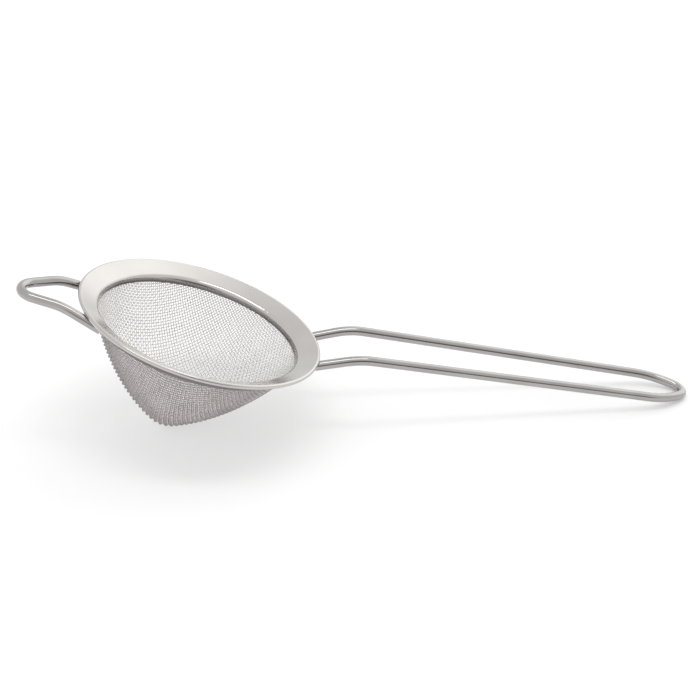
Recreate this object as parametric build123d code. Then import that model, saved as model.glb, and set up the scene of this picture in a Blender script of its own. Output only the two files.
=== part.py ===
from build123d import *
import math
import os

# Conical fine-mesh strainer, in millimetres.
# It is drawn in the rim's own frame: the mouth plane is z = 0, +Z points out of the bowl,
# +X points to the long handle and the rest loop lies on the -X side.
# At the end every piece is laid down as the strainer lies on a table, on its cone tip and handle end.

# Rim: one pressed sheet, from the collar round the mouth to the outer edge that is rolled under
collar_inner_radius = 40.0
flange_width = 9.0
collar_straight = 1.1
sheet_thickness = 0.6
mouth_bend_radius = 2.4
flange_slope = 23.0
roll_radius = 0.9
roll_sweep = 270.0

# Wire cloth: a cone with a gently bulging side and a rounded tip that leans to the rest loop
cloth_thickness = 0.5
cone_depth = 45.49
cone_side_radius = 111.0
cone_tip_radius = 12.7
cone_lean = 2.4
skirt_height = 1.0

# Openings of the cone: a plain grid in place of the cloth's far finer mesh
openings_across = 12
opening_bar = 1.6
weave_turn = 26.0
solid_tip = 6.0
solid_border = 2.0
least_opening_share = 0.3

# Clamp band that pinches the cloth's skirt against the collar
band_thickness = 0.5
band_overhang = 0.4
cloth_clearance = 0.03

# Round wire of the handle and of the rest loop
wire_diameter = 3.8
seat_gap = 0.05
end_gap = 0.1

# Long handle: its reach is from the rim's edge to the middle of the wire at the far end
handle_reach = 157.8
handle_root_half_width = 11.7
handle_bend_half_width = 12.6
handle_end_half_width = 10.2
handle_bend_offset = 14.3
handle_bend_radius = 35.0
handle_root_slope = 23.8
handle_slope = 4.5
handle_arch_length = 18.6
handle_crown_radius = 5.6

# Rest loop: a short loop opposite the handle, which hooks over the edge of a bowl
rest_reach = 21.3
rest_root_half_width = 14.1
rest_bend_offset = 6.3
rest_bend_radius = 23.0
rest_root_slope = 12.9
rest_slope = -6.7
rest_leg_angle = 23.6
rest_tip_radius = 6.9

# Welds between the wires and the underside of the rim
weld_radius = 2.2
weld_rise = 1.2
weld_length = 1.3
weld_setback = 1.6


def sine(degrees):
    return math.sin(math.radians(degrees))


def cosine(degrees):
    return math.cos(math.radians(degrees))


def tangent(degrees):
    return math.tan(math.radians(degrees))


def flange_height(radius, depth):
    """Height at a radius, at a depth below the flange's upper face, which starts at the mouth plane."""
    foot = collar_inner_radius + mouth_bend_radius * (1 - sine(flange_slope))
    return (radius - foot) * tangent(flange_slope) - depth / cosine(flange_slope)


rim_radius = collar_inner_radius + flange_width
roll_circle_radius = rim_radius - roll_radius
roll_height = flange_height(roll_circle_radius, roll_radius)
collar_depth = mouth_bend_radius * cosine(flange_slope) + collar_straight
collar_outer_radius = collar_inner_radius + sheet_thickness
skirt_inner_radius = collar_outer_radius + cloth_clearance
skirt_outer_radius = skirt_inner_radius + cloth_thickness
band_inner_radius = skirt_outer_radius + cloth_clearance
band_outer_radius = band_inner_radius + band_thickness
wire_radius = wire_diameter / 2
skirt_bottom = -collar_depth - cloth_clearance
skirt_top = skirt_bottom + skirt_height
lean_share = cone_lean / (cone_depth + skirt_bottom)


def on_circle(centre, radius, degrees):
    """Point of a circle in a plane, as (across, up)."""
    return (centre[0] + radius * cosine(degrees), centre[1] + radius * sine(degrees))


def section_arc(centre, radius, start, end):
    """Arc from one angle to another in the radius and height plane of a turned piece."""
    points = [on_circle(centre, radius, a) for a in (start, (start + end) / 2, end)]
    return ThreePointArc(*[(r, 0, z) for r, z in points])


def section_line(a, b):
    return Line((a[0], 0, a[1]), (b[0], 0, b[1]))


def turned(edges):
    """Solid turned about the cone's axis from a closed section."""
    return revolve(make_face(Wire(edges)), Axis.Z)


def rim_section():
    """Sheet section of the rim: arcs and straight stretches of its two faces, closed at both edges."""
    half = sheet_thickness / 2
    bend = mouth_bend_radius - half
    bend_centre = (collar_inner_radius + mouth_bend_radius, -mouth_bend_radius * cosine(flange_slope))
    roll = roll_radius - half
    roll_centre = (roll_circle_radius, roll_height)
    upright = 90 + flange_slope
    roll_to = upright - roll_sweep

    def face(offset):
        """Edges of one face of the sheet; a positive offset is the face seen from the mouth."""
        low = (collar_inner_radius + half - offset, -collar_depth)
        flange_from = on_circle(bend_centre, bend + offset, upright)
        flange_to = on_circle(roll_centre, roll + offset, upright)
        return [
            section_line(low, on_circle(bend_centre, bend + offset, 180)),
            section_arc(bend_centre, bend + offset, 180, upright),
            section_line(flange_from, flange_to),
            section_arc(roll_centre, roll + offset, upright, roll_to),
        ]

    collar_edge = section_line((collar_inner_radius, -collar_depth), (collar_outer_radius, -collar_depth))
    curl_edge = section_line(
        on_circle(roll_centre, roll + half, roll_to), on_circle(roll_centre, roll - half, roll_to)
    )
    return face(half) + [curl_edge] + face(-half) + [collar_edge]


def cone_arcs():
    """Centres of the cone's side arc and tip arc, and the angles at which the outer face uses them."""
    tip = (0.0, -cone_depth + cone_tip_radius)
    top = (skirt_outer_radius, skirt_bottom)
    span = math.dist(tip, top)
    reach = (cone_side_radius**2 - (cone_side_radius - cone_tip_radius) ** 2 + span**2) / (2 * span)
    aside = math.sqrt(cone_side_radius**2 - reach**2)
    toward = ((tip[0] - top[0]) / span, (tip[1] - top[1]) / span)
    side = (
        top[0] + toward[0] * reach + toward[1] * aside,
        top[1] + toward[1] * reach - toward[0] * aside,
    )
    blend = math.degrees(math.atan2(tip[1] - side[1], tip[0] - side[0]))
    return side, tip, blend


def cone_face(inset):
    """Edges of the outer face of the cone, or of a face set in from it by the cloth's thickness."""
    side, tip, blend = cone_arcs()
    radius = cone_side_radius - inset
    top = math.degrees(math.asin((skirt_bottom - side[1]) / radius))
    edges = [section_arc(side, radius, top, blend), section_arc(tip, cone_tip_radius - inset, blend, -90)]
    return edges, on_circle(side, radius, top), (0.0, -cone_depth + inset)


def lean(shape):
    """Shear that carries the tip toward the rest loop and leaves the skirt's lower edge in place."""
    along = [1, 0, lean_share, -lean_share * skirt_bottom]
    return shape.transform_geometry(Matrix([along, [0, 1, 0, 0], [0, 0, 1, 0], [0, 0, 0, 1]]))


def cone_lengths():
    """Lengths along the outer face's section, from the tip to the end of the tip arc and to the skirt."""
    side, _, blend = cone_arcs()
    top = math.degrees(math.asin((skirt_bottom - side[1]) / cone_side_radius))
    tip_length = math.radians(blend + 90) * cone_tip_radius
    return tip_length, tip_length + math.radians(top - blend) * cone_side_radius


def on_cone(across, along):
    """Place of a point of the flat cloth when it is drawn over the cone, and the outward direction there.

    The point keeps its distance from the tip, measured along the cone's section.
    """
    side, tip, blend = cone_arcs()
    bearing = weave_turn + math.degrees(math.atan2(along, across))
    beyond_tip = math.hypot(across, along) - cone_lengths()[0]
    centre, arc_radius = (tip, cone_tip_radius) if beyond_tip < 0 else (side, cone_side_radius)
    angle = blend + math.degrees(beyond_tip / arc_radius)
    radius, height = on_circle(centre, arc_radius, angle)
    leaned = lean_share * (height - skirt_bottom)
    place = Vector(radius * cosine(bearing) + leaned, radius * sine(bearing), height)
    return place, Vector(cosine(angle) * cosine(bearing), cosine(angle) * sine(bearing), sine(angle))


def opening_cutter(across, along, half_width):
    """Bar that cuts one opening square to the wall, centred on a point of the flat cloth."""
    middle, outward = on_cone(across, along)
    plane = Plane(origin=middle, z_dir=outward)
    turns = ((1, 1), (-1, 1), (-1, -1), (1, -1))
    corners = [on_cone(across + i * half_width, along + j * half_width)[0] for i, j in turns]
    outline = Polyline([(p.X, p.Y) for p in map(plane.to_local_coords, corners)], close=True)
    return extrude(plane * make_face(outline), cloth_thickness + half_width / 2, both=True)


def opening_cutters():
    """Grid of openings between the solid tip, on which the cone rests, and the border at the skirt."""
    reach = cone_lengths()[1] - solid_border
    pitch = 2 * reach / openings_across
    half_width = (pitch - opening_bar) / 2
    border_height = on_cone(reach, 0)[0].Z
    from_top = (Align.CENTER, Align.CENTER, Align.MAX)
    below_border = Pos(0, 0, border_height) * Cylinder(2 * rim_radius, 2 * cone_depth, align=from_top)
    steps = [(i - (openings_across - 1) / 2) * pitch for i in range(openings_across)]
    cutters = []
    for across in steps:
        for along in steps:
            nearest = math.hypot(max(abs(across) - half_width, 0), max(abs(along) - half_width, 0))
            if solid_tip < nearest < reach:
                whole = opening_cutter(across, along, half_width)
                cutter = whole & below_border
                if cutter and cutter.volume > least_opening_share * whole.volume:
                    cutters.append(cutter)
    return cutters


def make_rim_flange():
    return turned(rim_section())


def make_mesh_cone():
    outer, outer_top, outer_tip = cone_face(0)
    inner, inner_top, inner_tip = cone_face(cloth_thickness)
    wall = outer + [section_line(outer_tip, inner_tip)] + inner + [section_line(inner_top, outer_top)]
    skirt = Cylinder(skirt_outer_radius, skirt_height) - Cylinder(skirt_inner_radius, skirt_height)
    cone = lean(turned(wall)) - opening_cutters()
    return cone + Pos(0, 0, (skirt_top + skirt_bottom) / 2) * skirt


def make_clamp_band():
    height = skirt_height + band_overhang
    band = Cylinder(band_outer_radius, height) - Cylinder(band_inner_radius, height)
    return Pos(0, 0, skirt_top - height / 2) * band


def leg_root(root_half_width, slope, bend_x, bend_half_width):
    """Bend, direction and inner end of a leg that touches the rolled edge from below.

    The root's half width counts where the leg passes under the edge. The inner end stops short
    of the clamp band by the end gap, measured from the nearest point of its cut face.
    """
    drop = roll_radius + wire_radius + seat_gap
    across = math.sqrt(roll_circle_radius**2 - root_half_width**2)
    seat = Vector(across + drop * sine(slope), root_half_width, roll_height - drop * cosine(slope))
    spread = (bend_half_width - root_half_width) / (bend_x - seat.X)
    heading = Vector(1, spread, tangent(slope))
    bend = seat + heading * (bend_x - seat.X)

    reach_in = wire_radius * math.hypot(sine(slope), root_half_width / band_outer_radius)
    clear_radius = band_outer_radius + end_gap + reach_in
    end_half_width = root_half_width - spread * (across - clear_radius)
    end_x = math.sqrt(clear_radius**2 - end_half_width**2)
    return bend, heading, bend + heading * (end_x - bend_x)


def mirrored(point):
    return Vector(point.X, -point.Y, point.Z)


def swept_wire(path):
    """Round wire along a path, with its section square to the path's start."""
    return sweep(Plane(origin=path @ 0, z_dir=path % 0) * Circle(wire_radius), path=path)


def loop_plane(bend, slope):
    """Plane of a loop beyond its bend: x along the loop, y across it."""
    along = Vector(cosine(slope), 0, sine(slope))
    return Plane(origin=(bend.X, 0, bend.Z), x_dir=along, z_dir=Vector(-along.Z, 0, along.X))


def loop_length(reach, bend_offset, slope):
    """Length of a loop from its bend to its far end."""
    return (reach - bend_offset) / cosine(slope)


def loop_end(bend, reach, bend_offset, slope):
    """Middle of the wire at a loop's far end."""
    length = loop_length(reach, bend_offset, slope)
    return loop_plane(bend, slope).from_local_coords(Vector(length, 0, 0))


def handle_root():
    bend_x = rim_radius + handle_bend_offset
    return leg_root(handle_root_half_width, handle_root_slope, bend_x, handle_bend_half_width)


def rest_bend_half_width():
    """Half width at the rest's bend, from which the legs run tangent to the tip's arc."""
    run = loop_length(rest_reach, rest_bend_offset, rest_slope) - rest_tip_radius
    return (rest_tip_radius + run * sine(rest_leg_angle)) / cosine(rest_leg_angle)


def rest_root():
    """The rest's root, drawn on the handle's side before it is turned round."""
    bend_x = rim_radius + rest_bend_offset
    return leg_root(rest_root_half_width, rest_root_slope, bend_x, rest_bend_half_width())


def wire_loop(root, slope, bend_radius, side_arcs, join, crown):
    """Round wire bent to a loop: a leg and its side arcs, the crown, and the same again mirrored."""
    bend, _, inner = root
    plane = loop_plane(bend, slope)

    def place(point):
        return plane.from_local_coords(Vector(point[0], point[1], 0))

    arcs = [ThreePointArc(*[place(point) for point in arc]) for arc in side_arcs]
    leg_end = arcs[0] @ 0 if arcs else place(join)
    leg = FilletPolyline(inner, bend, leg_end, radius=bend_radius)
    half = [*leg.edges(), *arcs]
    top = ThreePointArc(place(join), place(crown), mirrored(place(join)))
    other_half = [edge.mirror(Plane.XZ) for edge in reversed(half)]
    return swept_wire(Wire([*half, top, *other_half]))


def make_long_handle():
    length = loop_length(handle_reach, handle_bend_offset, handle_slope)
    start = (length - handle_arch_length, handle_end_half_width)
    taper = math.degrees(math.atan2(handle_bend_half_width - handle_end_half_width, start[0]))

    # The arch: a long side arc that leaves the leg without a corner, and a tighter crown
    crown = length - handle_crown_radius
    gap = crown - start[0]
    side_radius = (gap**2 + start[1] ** 2 - handle_crown_radius**2) / (
        2 * (start[1] * cosine(taper) - gap * sine(taper) - handle_crown_radius)
    )
    side = on_circle(start, -side_radius, 90 - taper)
    meet = math.degrees(math.atan2(-side[1], crown - side[0]))
    middle = on_circle(side, side_radius, (90 - taper + meet) / 2)
    join = on_circle(side, side_radius, meet)
    side_arc = (start, middle, join)
    return wire_loop(handle_root(), handle_slope, handle_bend_radius, [side_arc], join, (length, 0))


def make_rest_loop():
    length = loop_length(rest_reach, rest_bend_offset, rest_slope)
    join = on_circle((length - rest_tip_radius, 0), rest_tip_radius, 90 - rest_leg_angle)
    loop = wire_loop(rest_root(), rest_slope, rest_bend_radius, [], join, (length, 0))
    return Rot(0, 0, 180) * loop


def room_under_flange():
    """Ring of room between the clamp band and the rolled edge, closed above by the flange's underside."""
    low = -collar_depth - wire_diameter - weld_radius
    inner = band_outer_radius
    outer = roll_circle_radius - weld_setback

    def underside(radius):
        return (radius, flange_height(radius, sheet_thickness))

    corners = [(inner, low), (outer, low), underside(outer), underside(inner)]
    return turned([section_line(a, b) for a, b in zip(corners, corners[1:] + corners[:1])])


def capsule(start, end, radius):
    """Round bar with domed ends, whose ends' centres are the two points."""
    length = (end - start).length
    bar = turned(
        [
            section_line((0, -radius), (0, length + radius)),
            section_arc((0, length), radius, 90, 0),
            section_line((radius, length), (radius, 0)),
            section_arc((0, 0), radius, 0, -90),
        ]
    )
    return Plane(origin=start, z_dir=end - start) * bar


def make_weld(root, side):
    """Weld metal round the inner end of one leg, which fills the room up to the rim and the band."""
    _, heading, inner = root
    ends = (inner, inner + heading.normalized() * weld_length)
    inner, outer = [Vector(p.X, side * p.Y, p.Z) for p in ends]
    lift = Vector(0, 0, weld_rise)
    bead = capsule(inner + lift, outer + lift, weld_radius) & room_under_flange()
    from_end = (Align.CENTER, Align.CENTER, Align.MIN)
    leg = Plane(origin=inner, z_dir=outer - inner) * Cylinder(wire_radius, rim_radius, align=from_end)
    return bead - leg


def resting_tilt():
    """Angle about Y at which the cone tip and the handle's end stand on one level, and that level."""
    tip_height = -cone_depth + cone_tip_radius
    tip_x = lean_share * (tip_height - skirt_bottom)
    end = loop_end(handle_root()[0], handle_reach, handle_bend_offset, handle_slope)

    def drops(tilt):
        """How far the tip and the handle's end lie below the middle of the mouth."""
        down = (sine(tilt), -cosine(tilt))
        tip_reach = cone_tip_radius * math.hypot(down[0], down[1] + lean_share * down[0])
        tip_drop = tip_x * down[0] + tip_height * down[1] + tip_reach
        return tip_drop, end.X * down[0] + end.Z * down[1] + wire_radius

    low, high = 0.0, 45.0
    for _ in range(50):
        middle = (low + high) / 2
        tip_drop, end_drop = drops(middle)
        if end_drop < tip_drop:
            low = middle
        else:
            high = middle
    return middle, tip_drop


def laying_down():
    """Move from the rim's frame to the table: origin below the middle, on the table's level."""
    tilt, drop = resting_tilt()
    turn = Rot(0, tilt, 0)
    handle_end = loop_end(handle_root()[0], handle_reach, handle_bend_offset, handle_slope)
    rest_end = loop_end(rest_root()[0], rest_reach, rest_bend_offset, rest_slope)
    far = (turn * Pos(handle_end.X, 0, handle_end.Z)).position.X
    near = (turn * Pos(-rest_end.X, 0, rest_end.Z)).position.X
    return Pos(-(far + near) / 2, 0, drop) * turn


def build():
    """All pieces in the rim's frame, by node name; left is the +Y side."""
    turn_round = Rot(0, 0, 180)
    return {
        "rim_flange": make_rim_flange(),
        "mesh_cone": make_mesh_cone(),
        "mesh_clamp_band": make_clamp_band(),
        "long_handle": make_long_handle(),
        "handle_weld_left": make_weld(handle_root(), 1),
        "handle_weld_right": make_weld(handle_root(), -1),
        "rest_loop": make_rest_loop(),
        "rest_weld_left": turn_round * make_weld(rest_root(), -1),
        "rest_weld_right": turn_round * make_weld(rest_root(), 1),
    }


os.makedirs("parts", exist_ok=True)
table = laying_down()
for node, shape in build().items():
    export_step(table * shape, f"parts/{node}.step")
print("resting tilt", round(resting_tilt()[0], 3), "degrees; origin moved", table.position)
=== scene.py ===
import math

import bpy
from mathutils import Euler, Matrix, Vector


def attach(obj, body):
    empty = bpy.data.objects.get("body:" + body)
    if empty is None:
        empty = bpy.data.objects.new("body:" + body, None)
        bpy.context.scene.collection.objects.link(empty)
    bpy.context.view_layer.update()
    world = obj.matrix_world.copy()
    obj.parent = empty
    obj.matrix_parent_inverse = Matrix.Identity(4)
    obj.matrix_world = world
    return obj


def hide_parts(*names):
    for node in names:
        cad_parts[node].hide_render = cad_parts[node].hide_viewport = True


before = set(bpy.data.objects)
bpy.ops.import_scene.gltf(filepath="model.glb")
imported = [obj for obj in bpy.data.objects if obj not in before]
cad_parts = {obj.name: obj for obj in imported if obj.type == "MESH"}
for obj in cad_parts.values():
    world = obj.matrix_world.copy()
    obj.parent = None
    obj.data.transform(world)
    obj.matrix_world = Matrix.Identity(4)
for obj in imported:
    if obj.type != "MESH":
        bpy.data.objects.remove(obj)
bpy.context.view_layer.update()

MM = 0.001

# The rim's own frame, as it lies on the table: turned about Y and moved
REST_TILT = math.radians(16.361)
MOUTH_CENTRE = Vector((-67.831, 0.0, 43.4946)) * MM
LAID_DOWN = (
    Matrix.Translation(MOUTH_CENTRE)
    @ Matrix.Rotation(REST_TILT, 4, "Y")
    @ Matrix.Diagonal((MM, MM, MM, 1.0))
)


# Nodes, for materials and for Geometry Nodes alike


def add(tree, kind, inputs=None, **settings):
    """New node with its settings and its inputs, which are values or sockets of other nodes."""
    node = tree.nodes.new(kind)
    for key, value in settings.items():
        setattr(node, key, value)
    for key, value in (inputs or {}).items():
        if isinstance(value, bpy.types.NodeSocket):
            tree.links.new(value, node.inputs[key])
        else:
            node.inputs[key].default_value = value
    return node


def maths(tree, operation, *values):
    """Result of a Math node."""
    return add(tree, "ShaderNodeMath", dict(enumerate(values)), operation=operation).outputs[0]


def vector_maths(tree, operation, *vectors):
    """Result of a Vector Math node: a number for a length or a dot product, else a vector."""
    node = add(tree, "ShaderNodeVectorMath", dict(enumerate(vectors)), operation=operation)
    return node.outputs["Value" if operation in ("LENGTH", "DOT_PRODUCT") else "Vector"]


def split(tree, vector):
    """The three numbers of a vector."""
    return add(tree, "ShaderNodeSeparateXYZ", {0: vector}).outputs


def joined(tree, x=0.0, y=0.0, z=0.0):
    """Vector of three numbers."""
    return add(tree, "ShaderNodeCombineXYZ", {0: x, 1: y, 2: z}).outputs[0]


def moved_range(tree, value, start, end, low, high, **settings):
    """A value that runs from start to end, moved to run from low to high and held there."""
    return add(
        tree,
        "ShaderNodeMapRange",
        {"Value": value, "From Min": start, "From Max": end, "To Min": low, "To Max": high},
        **settings,
    ).outputs[0]


# Steel finishes

# Dark and light tint of each finish, which faint clouds mix
RIM_TINTS = (0.54, 0.52, 0.50), (0.58, 0.56, 0.54)
# The band's tints are painted shade: the band is coloured dark where it sits in shade under the rim
BAND_PAINTED_SHADE_TINTS = (0.20, 0.18, 0.185), (0.25, 0.23, 0.235)
WIRE_TINTS = (0.38, 0.365, 0.355), (0.43, 0.415, 0.405)
# Cloth tints are painted light inside the bowl and painted shade outside it, on the same steel
CLOTH_INSIDE_PAINTED_LIGHT_TINTS = (0.76, 0.74, 0.725), (0.83, 0.81, 0.795)
CLOTH_OUTSIDE_PAINTED_SHADE_TINTS = (0.25, 0.225, 0.225), (0.35, 0.32, 0.32)
WELD_TINTS = (0.34, 0.31, 0.29), (0.52, 0.50, 0.48)

# Painted shade on the sheet below the mouth, and the heights between which it gives way to the
# polished sheet, in millimetres in the rim's own frame
UNDERSIDE_PAINTED_SHADE = (0.20, 0.18, 0.185, 1.0)
UNDERSIDE_SHADE_START, UNDERSIDE_SHADE_END = -2.6, -0.9

# Noise of each finish: scale per metre, detail, and the scale of each axis where it is drawn out
SHEET_CLOUDS = 60.0, 4.0
WIRE_CLOUDS = 90.0, 3.0
DRAW_LINES = 1.0, 4.0, (60.0, 2600.0, 2600.0)
CLOTH_MARKS = 2200.0, 3.0
WELD_LUMPS = 900.0, 4.0
WELD_CLOUDS = 300.0, 2.0
NOISE_START, NOISE_END = 0.3, 0.7

# Marks left by turning the sheet: spacing in millimetres, change on the way round, detail
TURNED_SPACING = 0.11
TURNED_CHANGE = 2.0
TURNED_DETAIL = 4.0

# Depth of the relief, roughness, and how far marks and clouds move the roughness
SHEET_RELIEF = 0.004 * MM
WIRE_RELIEF = 0.003 * MM
WELD_RELIEF = 0.12 * MM
CLOTH_ROUGHNESS = 0.2, 0.3
WELD_ROUGHNESS = 0.32, 0.5
SHEET_SWING = 0.04
WIRE_SWING = 0.03
CLOUD_SWING = 0.02

# Attribute of the cloth: cosine between a face and the way out of the bowl, and where the painted
# light inside gives way to painted shade outside
LOOKS_OUT = "looks_out"
OUTSIDE_SHADE_START, OUTSIDE_SHADE_END = -0.2, 0.6


def new_material(name):
    """Empty material and its node tree."""
    material = bpy.data.materials.new(name)
    material.use_nodes = True
    material.node_tree.nodes.clear()
    return material, material.node_tree


def rim_coordinates(tree):
    """Object coordinates in the rim's own frame, in millimetres, split in three."""
    where = add(tree, "ShaderNodeTexCoord").outputs["Object"]
    turned = add(
        tree,
        "ShaderNodeMapping",
        {
            "Vector": vector_maths(tree, "SUBTRACT", where, MOUTH_CENTRE),
            "Rotation": (0.0, -REST_TILT, 0.0),
            "Scale": (1 / MM,) * 3,
        },
        vector_type="POINT",
    ).outputs[0]
    return split(tree, turned)


def turned_marks(tree):
    """Fine marks that run round the mouth, left by turning and polishing."""
    x, y, z = rim_coordinates(tree)
    squares = maths(tree, "ADD", maths(tree, "MULTIPLY", x, x), maths(tree, "MULTIPLY", y, y))
    radius = maths(tree, "SQRT", squares)
    angle = maths(tree, "ARCTAN2", y, x)
    up = maths(tree, "DIVIDE", z, TURNED_SPACING)
    along = joined(
        tree,
        maths(tree, "DIVIDE", radius, TURNED_SPACING),
        maths(tree, "MULTIPLY", maths(tree, "SINE", angle), TURNED_CHANGE),
        maths(tree, "ADD", up, maths(tree, "COSINE", angle)),
    )
    inputs = {"Vector": along, "Scale": 1.0, "Detail": TURNED_DETAIL}
    return add(tree, "ShaderNodeTexNoise", inputs).outputs[0]


def surface_noise(tree, scale, detail, stretch=(1.0, 1.0, 1.0)):
    """Noise that is held to the piece."""
    where = add(tree, "ShaderNodeTexCoord").outputs["Object"]
    held = add(tree, "ShaderNodeMapping", {"Vector": where, "Scale": stretch}).outputs[0]
    inputs = {"Vector": held, "Scale": scale, "Detail": detail}
    return add(tree, "ShaderNodeTexNoise", inputs).outputs[0]


def spread(tree, noise, low, high):
    """Noise moved to run from low to high."""
    return moved_range(tree, noise, NOISE_START, NOISE_END, low, high)


def mixed(tree, share, first, second):
    """Colour between two, which are colours or sockets, by a share from 0 to 1."""
    inputs = {"Factor": share, "A": first, "B": second}
    return add(tree, "ShaderNodeMix", inputs, data_type="RGBA").outputs["Result"]


def tinted(tree, clouds, tints):
    """Colour that clouds mix from a dark and a light tint."""
    dark, light = tints
    return mixed(tree, spread(tree, clouds, 0.0, 1.0), (*dark, 1.0), (*light, 1.0))


def uneven(tree, rough, marks, swing, clouds):
    """Roughness round a middle value, moved a little by fine marks and by clouds."""
    fine = spread(tree, marks, rough - swing, rough + swing)
    return maths(tree, "ADD", fine, spread(tree, clouds, -CLOUD_SWING, CLOUD_SWING))


def metal(tree, colour, roughness, marks, relief):
    """Metal whose colour, roughness and relief come from the piece's own pattern."""
    inputs = {"Height": marks, "Distance": relief, "Strength": 1.0}
    bump = add(tree, "ShaderNodeBump", inputs).outputs[0]
    surface = add(
        tree,
        "ShaderNodeBsdfPrincipled",
        {"Base Color": colour, "Roughness": roughness, "Normal": bump, "Metallic": 1.0},
    )
    add(tree, "ShaderNodeOutputMaterial", {"Surface": surface.outputs[0]})


def satin_sheet(name, tints, rough):
    """Pressed steel sheet with a turned satin finish, and painted shade below the mouth."""
    material, tree = new_material(name)
    marks = turned_marks(tree)
    clouds = surface_noise(tree, *SHEET_CLOUDS)
    height = rim_coordinates(tree)[2]
    # Painted shade: below the mouth the sheet's colour is darkened to stand in for the shade under
    # the bead
    below = moved_range(tree, height, UNDERSIDE_SHADE_START, UNDERSIDE_SHADE_END, 1.0, 0.0)
    colour = mixed(tree, below, tinted(tree, clouds, tints), UNDERSIDE_PAINTED_SHADE)
    metal(tree, colour, uneven(tree, rough, marks, SHEET_SWING, clouds), marks, SHEET_RELIEF)
    return material


def polished_wire(name, tints, rough):
    """Bright drawn wire: long faint draw lines and a little unevenness left by polishing."""
    material, tree = new_material(name)
    lines = surface_noise(tree, *DRAW_LINES)
    clouds = surface_noise(tree, *WIRE_CLOUDS)
    colour = tinted(tree, clouds, tints)
    metal(tree, colour, uneven(tree, rough, lines, WIRE_SWING, clouds), lines, WIRE_RELIEF)
    return material


def fine_wire(name):
    """Bright drawn wire of the cloth, with painted light on the side that looks into the bowl and
    painted shade on the side that looks out.
    """
    material, tree = new_material(name)
    marks = surface_noise(tree, *CLOTH_MARKS)
    clouds = surface_noise(tree, *WIRE_CLOUDS)
    facing = add(tree, "ShaderNodeAttribute", attribute_name=LOOKS_OUT).outputs["Fac"]
    # Painted light and shade: faces that look out of the bowl get the dark tints, faces that look
    # in get the bright ones
    colour = mixed(
        tree,
        moved_range(tree, facing, OUTSIDE_SHADE_START, OUTSIDE_SHADE_END, 0.0, 1.0),
        tinted(tree, clouds, CLOTH_INSIDE_PAINTED_LIGHT_TINTS),
        tinted(tree, clouds, CLOTH_OUTSIDE_PAINTED_SHADE_TINTS),
    )
    metal(tree, colour, spread(tree, marks, *CLOTH_ROUGHNESS), marks, WIRE_RELIEF)
    return material


def weld_bead(name):
    """Weld metal that was brushed: a rough, slightly tinted bead."""
    material, tree = new_material(name)
    lumps = surface_noise(tree, *WELD_LUMPS)
    colour = tinted(tree, surface_noise(tree, *WELD_CLOUDS), WELD_TINTS)
    metal(tree, colour, spread(tree, lumps, *WELD_ROUGHNESS), lumps, WELD_RELIEF)
    return material


def give(node, material):
    """The carried node's whole surface gets the material."""
    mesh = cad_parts[node].data
    mesh.materials.clear()
    mesh.materials.append(material)


give("rim_flange", satin_sheet("rim_steel", RIM_TINTS, rough=0.15))
# The clamp band's dark colour is painted shade
give("mesh_clamp_band", satin_sheet("band_steel", BAND_PAINTED_SHADE_TINTS, rough=0.3))
give("long_handle", polished_wire("handle_steel", WIRE_TINTS, rough=0.12))
give("rest_loop", polished_wire("rest_steel", WIRE_TINTS, rough=0.08))
weld_metal = weld_bead("weld_metal")
for weld in ("handle_weld_left", "handle_weld_right", "rest_weld_left", "rest_weld_right"):
    give(weld, weld_metal)


# Woven cloth of the cone, in millimetres and in the rim's own frame

SKIRT_RADIUS = 40.88
SKIRT_BOTTOM = -3.339
SKIRT_HEIGHT = 0.95
CONE_DEPTH = 45.49
CONE_SIDE_RADIUS = 111.0
CONE_TIP_RADIUS = 12.7
CONE_TOP_RADIUS = 41.13
CONE_LEAN = 2.4
TIP_STEPS, SIDE_STEPS, SKIRT_STEPS = 40, 160, 4

CLOTH_WIRE = 0.36
CLOTH_PITCH = 1.2
CLOTH_TURN = math.radians(26.0)
CLOTH_RIDGE = 0.2
WIRES_PER_SIDE = 47
WIRE_SIDES = 6
STEPS_PER_PITCH = 4
STRAIGHT_WITHIN = 0.001

# Forming draws the cloth out: a point at a length L from the tip was L * (spread + growth * L)
# from the middle of the flat cloth
CLOTH_TIP_SPREAD = 0.70
CLOTH_SPREAD_GROWTH = 0.0033

# The wires lose their waves over this height, down to this share, where the band pinches them
PINCH_RUN = 1.0
PINCHED_SHARE = 0.45

# The way out of the bowl runs away from the cone's axis and down, at the axis by this much
FALL_AT_AXIS = -0.5 * CONE_TIP_RADIUS


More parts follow.
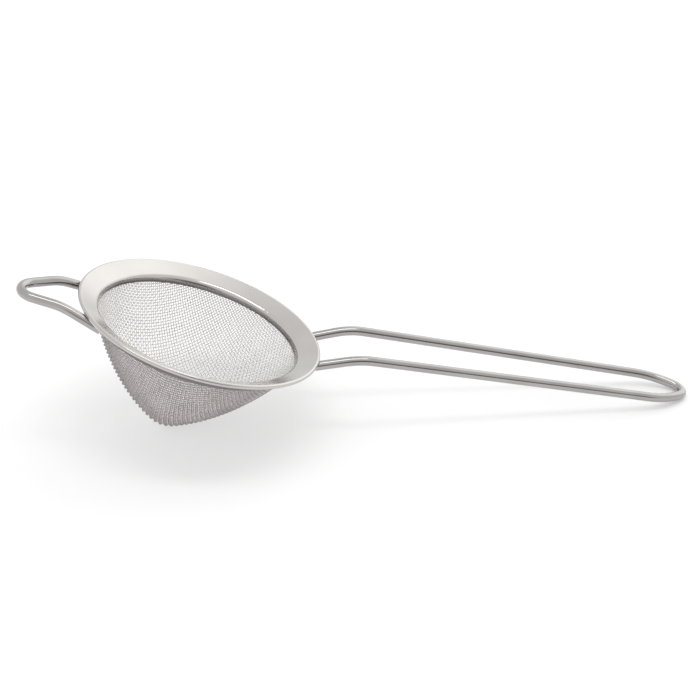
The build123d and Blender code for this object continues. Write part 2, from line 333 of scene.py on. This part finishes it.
def cone_section():
    """Middle line of the cloth from the cone's tip to the skirt's top, as (radius, height)."""
    inset = CLOTH_WIRE + CLOTH_RIDGE
    tip = Vector((0.0, CONE_TIP_RADIUS - CONE_DEPTH))
    top = Vector((CONE_TOP_RADIUS, SKIRT_BOTTOM))
    span = (top - tip).length

    # The side's arc passes through the top and runs smoothly into the tip's arc
    gap = CONE_SIDE_RADIUS - CONE_TIP_RADIUS
    reach = (CONE_SIDE_RADIUS**2 - gap**2 + span**2) / (2 * span)
    aside = math.sqrt(CONE_SIDE_RADIUS**2 - reach**2)
    toward = (tip - top) / span
    side = top + toward * reach + Vector((toward.y, -toward.x)) * aside
    blend = math.atan2(tip.y - side.y, tip.x - side.x)
    rise = math.asin((SKIRT_BOTTOM - side.y) / (CONE_SIDE_RADIUS - inset))

    def arc(centre, radius, start, end, steps):
        turns = [start + (end - start) * i / steps for i in range(steps + 1)]
        return [(centre.x + radius * math.cos(a), centre.y + radius * math.sin(a)) for a in turns]

    tip_arc = arc(tip, CONE_TIP_RADIUS - inset, -math.pi / 2, blend, TIP_STEPS)
    side_arc = arc(side, CONE_SIDE_RADIUS - inset, blend, rise, SIDE_STEPS)
    rises = [SKIRT_HEIGHT * i / SKIRT_STEPS for i in range(1, SKIRT_STEPS + 1)]
    return tip_arc + side_arc[1:] + [(SKIRT_RADIUS, SKIRT_BOTTOM + up) for up in rises]


def section_curve(name, points):
    """Open poly curve of a section that stands in the radius and height plane."""
    data = bpy.data.curves.new(name, "CURVE")
    data.dimensions = "3D"
    spline = data.splines.new("POLY")
    spline.points.add(len(points) - 1)
    for point, (radius, height) in zip(spline.points, points):
        point.co = (radius, 0.0, height, 1.0)
    curve = bpy.data.objects.new(name, data)
    bpy.context.scene.collection.objects.link(curve)
    return curve


def new_tree(name, sizes):
    """Geometry Nodes tree with a geometry in and out, a material, and named sizes."""
    tree = bpy.data.node_groups.new(name, "GeometryNodeTree")
    new_socket = tree.interface.new_socket
    new_socket("Geometry", in_out="INPUT", socket_type="NodeSocketGeometry")
    new_socket("Geometry", in_out="OUTPUT", socket_type="NodeSocketGeometry")
    new_socket("Material", in_out="INPUT", socket_type="NodeSocketMaterial")
    for size, value in sizes.items():
        kind = "NodeSocketInt" if isinstance(value, int) else "NodeSocketFloat"
        new_socket(size, in_out="INPUT", socket_type=kind).default_value = value
    return tree


def finish_tree(tree, geometry, material):
    """Ends the tree with real, smooth geometry in its material."""
    smooth = add(tree, "GeometryNodeSetShadeSmooth", {"Geometry": geometry}).outputs[0]
    real = add(tree, "GeometryNodeRealizeInstances", {"Geometry": smooth}).outputs[0]
    inputs = {"Geometry": real, "Material": material}
    add(tree, "NodeGroupOutput", {0: add(tree, "GeometryNodeSetMaterial", inputs).outputs[0]})


def place_of_point(tree):
    """Position of each point, where the node that reads it stands."""
    return add(tree, "GeometryNodeInputPosition").outputs[0]


def compared(tree, operation, first, second):
    """Whether two numbers compare as the operation says."""
    inputs = {"A": first, "B": second}
    settings = {"data_type": "FLOAT", "operation": operation}
    return add(tree, "FunctionNodeCompare", inputs, **settings).outputs[0]


def flat_wires(tree, given):
    """Parallel wires of the flat cloth, as curves along X, cut to the disc that covers the cone."""
    pitch, count = given["Pitch"], given["Count"]
    length = add(tree, "GeometryNodeCurveLength", {0: given["Geometry"]}).outputs[0]
    end_spread = maths(tree, "MULTIPLY_ADD", length, given["Spread Growth"], given["Tip Spread"])
    disc = maths(tree, "MULTIPLY", length, end_spread)

    half_steps = maths(tree, "CEIL", maths(tree, "DIVIDE", disc, pitch))
    points = maths(tree, "MULTIPLY_ADD", half_steps, 2.0 * STEPS_PER_PITCH, 1.0)
    reach = maths(tree, "MULTIPLY", half_steps, maths(tree, "MULTIPLY", pitch, 2.0))
    across = maths(tree, "MULTIPLY", maths(tree, "SUBTRACT", count, 1.0), pitch)
    inputs = {"Size X": reach, "Size Y": across, "Vertices X": points, "Vertices Y": count}
    grid = add(tree, "GeometryNodeMeshGrid", inputs).outputs["Mesh"]

    first = maths(tree, "MULTIPLY", maths(tree, "ADD", given["First"], 0.5), pitch)
    middle = joined(tree, y=maths(tree, "MULTIPLY_ADD", across, 0.5, first))
    inputs = {"Geometry": grid, "Offset": middle}
    placed = add(tree, "GeometryNodeSetPosition", inputs).outputs[0]

    from_middle = vector_maths(tree, "LENGTH", place_of_point(tree))
    inputs = {"Geometry": placed, "Selection": compared(tree, "GREATER_THAN", from_middle, disc)}
    cut = add(tree, "GeometryNodeDeleteGeometry", inputs).outputs[0]

    # Only the edges along X become wires
    ends = add(tree, "GeometryNodeInputMeshEdgeVertices").outputs
    run = vector_maths(tree, "SUBTRACT", ends["Position 1"], ends["Position 2"])
    sideways = maths(tree, "ABSOLUTE", split(tree, run)[1])
    inputs = {"Mesh": cut, "Selection": compared(tree, "LESS_THAN", sideways, STRAIGHT_WITHIN)}
    return add(tree, "GeometryNodeMeshToCurve", inputs).outputs[0]


def section_under(tree, given):
    """Point and direction of the section where the flat radius of a wire's point puts it."""
    growth, tip_spread = given["Spread Growth"], given["Tip Spread"]
    flat_radius = vector_maths(tree, "LENGTH", place_of_point(tree))

    # The length from the tip solves flat radius = length * (tip spread + growth * length)
    grown = maths(tree, "MULTIPLY", maths(tree, "MULTIPLY", growth, 4.0), flat_radius)
    root = maths(tree, "SQRT", maths(tree, "MULTIPLY_ADD", tip_spread, tip_spread, grown))
    numerator = maths(tree, "SUBTRACT", root, tip_spread)
    from_tip = maths(tree, "DIVIDE", numerator, maths(tree, "MULTIPLY", growth, 2.0))
    inputs = {"Curves": given["Geometry"], "Length": from_tip}
    settings = {"mode": "LENGTH", "use_all_curves": True}
    sample = add(tree, "GeometryNodeSampleCurve", inputs, **settings).outputs
    return split(tree, sample["Position"]), split(tree, sample["Tangent"])


def crimp(tree, given, height):
    """How far a wire stands out of the cloth's middle, less where the skirt is pinched."""
    x, y, _ = split(tree, place_of_point(tree))
    pitch, side = given["Pitch"], given["Crimp Side"]

    def wave(along, shift):
        turns = maths(tree, "SUBTRACT", maths(tree, "DIVIDE", along, pitch), shift)
        return maths(tree, "COSINE", maths(tree, "MULTIPLY", turns, math.pi))

    start = SKIRT_BOTTOM - PINCH_RUN
    free = moved_range(tree, height, start, SKIRT_BOTTOM, 1.0, PINCHED_SHARE)

    # Over one wire and under the next
    sway = maths(tree, "MULTIPLY", wave(x, 0.5), wave(y, 0.5))
    half_wire = maths(tree, "MULTIPLY", given["Wire"], 0.5)
    woven = maths(
        tree,
        "MULTIPLY",
        maths(tree, "MULTIPLY", sway, free),
        maths(tree, "MULTIPLY", half_wire, side),
    )

    # Forming the cone raises the rows of knuckles along one diagonal into ridges
    diagonal = maths(tree, "SUBTRACT", x, maths(tree, "MULTIPLY", y, side))
    ridge_height = maths(tree, "MULTIPLY", given["Ridge Height"], free)
    raised = maths(tree, "MULTIPLY", wave(diagonal, 0.0), ridge_height)
    return maths(tree, "ADD", woven, raised)


def place_on_cone(tree, given):
    """Where a point of the flat wires comes to lie on the leaning cone."""
    section, section_run = section_under(tree, given)
    out = crimp(tree, given, section[2])
    radius = maths(tree, "MULTIPLY_ADD", out, section_run[2], section[0])
    height = maths(tree, "SUBTRACT", section[2], maths(tree, "MULTIPLY", out, section_run[0]))

    x, y, _ = split(tree, place_of_point(tree))
    angle = maths(tree, "ADD", maths(tree, "ARCTAN2", y, x), given["Family Turn"])
    below = maths(tree, "MINIMUM", maths(tree, "SUBTRACT", height, SKIRT_BOTTOM), 0.0)
    lean = maths(tree, "MULTIPLY", below, given["Lean Share"])
    return joined(
        tree,
        maths(tree, "MULTIPLY_ADD", radius, maths(tree, "COSINE", angle), lean),
        maths(tree, "MULTIPLY", radius, maths(tree, "SINE", angle)),
        height,
    )


def marked_outward(tree, wires):
    """Wires with an attribute that says how far each face looks out of the bowl."""
    x, y, _ = split(tree, place_of_point(tree))
    from_axis = vector_maths(tree, "LENGTH", joined(tree, x, y))
    down = maths(tree, "SUBTRACT", FALL_AT_AXIS, from_axis)
    outward = vector_maths(tree, "NORMALIZE", joined(tree, x, y, down))
    normal = add(tree, "GeometryNodeInputNormal").outputs[0]
    facing = vector_maths(tree, "DOT_PRODUCT", normal, outward)
    inputs = {"Geometry": wires, "Name": LOOKS_OUT, "Value": facing}
    settings = {"data_type": "FLOAT", "domain": "POINT"}
    return add(tree, "GeometryNodeStoreNamedAttribute", inputs, **settings).outputs[0]


def woven_wires_tree():
    """One family of parallel wires: straight on the flat cloth, then drawn over the cone."""
    tree = new_tree(
        "woven_wires",
        {
            "Pitch": CLOTH_PITCH,
            "Wire": CLOTH_WIRE,
            "First": 0,
            "Count": 1,
            "Family Turn": 0.0,
            "Crimp Side": 1.0,
            "Ridge Height": CLOTH_RIDGE,
            "Tip Spread": CLOTH_TIP_SPREAD,
            "Spread Growth": CLOTH_SPREAD_GROWTH,
            "Lean Share": CONE_LEAN / (CONE_DEPTH + SKIRT_BOTTOM),
        },
    )
    given = add(tree, "NodeGroupInput").outputs
    inputs = {"Geometry": flat_wires(tree, given), "Position": place_on_cone(tree, given)}
    drawn = add(tree, "GeometryNodeSetPosition", inputs).outputs[0]
    inputs = {"Resolution": WIRE_SIDES, "Radius": maths(tree, "MULTIPLY", given["Wire"], 0.5)}
    circle = add(tree, "GeometryNodeCurvePrimitiveCircle", inputs, mode="RADIUS").outputs[0]
    inputs = {"Curve": drawn, "Profile Curve": circle, "Fill Caps": True}
    wires = add(tree, "GeometryNodeCurveToMesh", inputs).outputs[0]
    finish_tree(tree, marked_outward(tree, wires), given["Material"])
    return tree


def set_input(modifier, name, value):
    """Sets a modifier's input by its socket's identifier."""
    for item in modifier.node_group.interface.items_tree:
        if item.item_type == "SOCKET" and item.in_out == "INPUT" and item.name == name:
            modifier[item.identifier] = value


def plain_piece(source, name):
    """Plain mesh of an evaluated object, laid down as the strainer lies; the source is removed."""
    bpy.context.view_layer.update()
    evaluated = source.evaluated_get(bpy.context.evaluated_depsgraph_get())
    mesh = bpy.data.meshes.new_from_object(evaluated)
    mesh.name = name
    bpy.data.objects.remove(source)
    mesh.transform(LAID_DOWN)
    piece = bpy.data.objects.new(name, mesh)
    bpy.context.scene.collection.objects.link(piece)
    return piece


def make_cloth(material):
    """Warp and weft of the cloth, each in two pieces, right and left of the wires' middle."""
    tree = woven_wires_tree()
    for family, turn, side in (("warp", 0.0, 1.0), ("weft", math.pi / 2, -1.0)):
        for part, first in (("right", -WIRES_PER_SIDE), ("left", 0)):
            section = section_curve("cloth_section", cone_section())
            modifier = section.modifiers.new("woven", "NODES")
            modifier.node_group = tree
            set_input(modifier, "Material", material)
            set_input(modifier, "First", first)
            set_input(modifier, "Count", WIRES_PER_SIDE)
            set_input(modifier, "Family Turn", CLOTH_TURN + turn)
            set_input(modifier, "Crimp Side", side)
            piece = plain_piece(section, f"cloth_{family}_{part}")
            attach(piece, "root")
            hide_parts("mesh_cone")


make_cloth(fine_wire("cloth_steel"))


# Studio

WHITE = (1.0, 1.0, 1.0, 1.0)

# Pale floor: half its width in metres, its colour, and its own glow where it is seen directly
FLOOR_HALF = 4.0
FLOOR_COLOUR = (0.78, 0.78, 0.78, 1.0)
FLOOR_GLOW = 0.22

# An even level all round, brighter in one direction and darker in another. Each of the two has
# its bearing and rise, the cosines of the angle at its edge and its core, and its level.
STUDIO_LEVEL = 0.92
SOFT_KEY = math.radians(38.0), math.radians(30.0), 0.72, 0.97, 0.65
DARK_ROOM = math.radians(-80.0), 0.0, 0.72, 0.98, 0.72

SOFTBOX_PLACE = Vector((-0.06, -0.12, 1.53))
SOFTBOX_TARGET = Vector((-0.03, 0.0, 0.03))
SOFTBOX_SIZE = 1.2, 0.3
SOFTBOX_POWER = 3.6

# Camera at the photograph's viewing angle, in metres, degrees and millimetres of lens
CAMERA_PLACE = Vector((-0.12393, -0.59753, 0.36623))
CAMERA_TURN = Euler([math.radians(a) for a in (60.9973, -2.2861, -9.7601)], "XYZ")
CAMERA_LENS = 89.27
CAMERA_SENSOR = 36.0
CAMERA_CLIP = 0.01


def seen_directly(tree):
    """One where a ray of the camera, a reflection or a transmission arrives, else zero."""
    path = add(tree, "ShaderNodeLightPath").outputs
    one = maths(tree, "MAXIMUM", path["Is Camera Ray"], path["Is Glossy Ray"])
    return maths(tree, "MAXIMUM", one, path["Is Transmission Ray"])


def make_floor():
    """Pale paper floor that looks white to the camera and keeps the strainer's shadow."""
    material, tree = new_material("pale_floor")
    paper = add(tree, "ShaderNodeBsdfDiffuse", {"Color": FLOOR_COLOUR})
    glow = maths(tree, "MULTIPLY", seen_directly(tree), FLOOR_GLOW)
    lit = add(tree, "ShaderNodeEmission", {"Color": WHITE, "Strength": glow})
    both = add(tree, "ShaderNodeAddShader", {0: paper.outputs[0], 1: lit.outputs[0]})
    add(tree, "ShaderNodeOutputMaterial", {"Surface": both.outputs[0]})

    half = FLOOR_HALF
    mesh = bpy.data.meshes.new("floor")
    corners = [(-half, -half, 0.0), (half, -half, 0.0), (half, half, 0.0), (-half, half, 0.0)]
    mesh.from_pydata(corners, [], [(0, 1, 2, 3)])
    mesh.materials.append(material)
    floor = bpy.data.objects.new("floor", mesh)
    bpy.context.scene.collection.objects.link(floor)


def lobe(tree, ray, bearing, rise, edge, core, level):
    """Level near a direction, which falls to nothing between two cosines of the angle from it."""
    level_run = math.cos(rise)
    toward = (level_run * math.cos(bearing), level_run * math.sin(bearing), math.sin(rise))
    near = vector_maths(tree, "DOT_PRODUCT", ray, toward)
    return moved_range(tree, near, edge, core, 0.0, level, interpolation_type="SMOOTHSTEP")


def make_world():
    """White studio with a wide soft key and a darker room on the camera's side."""
    world = bpy.data.worlds.new("studio")
    world.use_nodes = True
    tree = world.node_tree
    tree.nodes.clear()
    ray = add(tree, "ShaderNodeTexCoord").outputs["Generated"]
    key = lobe(tree, ray, *SOFT_KEY)
    room = lobe(tree, ray, *DARK_ROOM)
    level = maths(tree, "SUBTRACT", maths(tree, "ADD", key, STUDIO_LEVEL), room)
    sky = add(tree, "ShaderNodeBackground", {"Color": WHITE, "Strength": level})
    add(tree, "ShaderNodeOutputWorld", {"Surface": sky.outputs[0]})
    bpy.context.scene.world = world


def make_softbox():
    """Long rectangular light above the strainer."""
    data = bpy.data.lights.new("softbox_top", "AREA")
    data.shape = "RECTANGLE"
    data.size, data.size_y = SOFTBOX_SIZE
    data.energy = SOFTBOX_POWER
    lamp = bpy.data.objects.new("softbox_top", data)
    lamp.location = SOFTBOX_PLACE
    lamp.rotation_euler = (SOFTBOX_TARGET - SOFTBOX_PLACE).to_track_quat("-Z", "Y").to_euler()
    bpy.context.scene.collection.objects.link(lamp)


def make_camera():
    """Camera of the photograph."""
    data = bpy.data.cameras.new("camera")
    data.lens = CAMERA_LENS
    data.sensor_width = CAMERA_SENSOR
    data.clip_start = CAMERA_CLIP
    camera = bpy.data.objects.new("camera", data)
    camera.location = CAMERA_PLACE
    camera.rotation_euler = CAMERA_TURN
    bpy.context.scene.collection.objects.link(camera)
    bpy.context.scene.camera = camera


make_floor()
make_world()
make_softbox()
make_camera()
bpy.context.scene.view_settings.view_transform = "Standard"
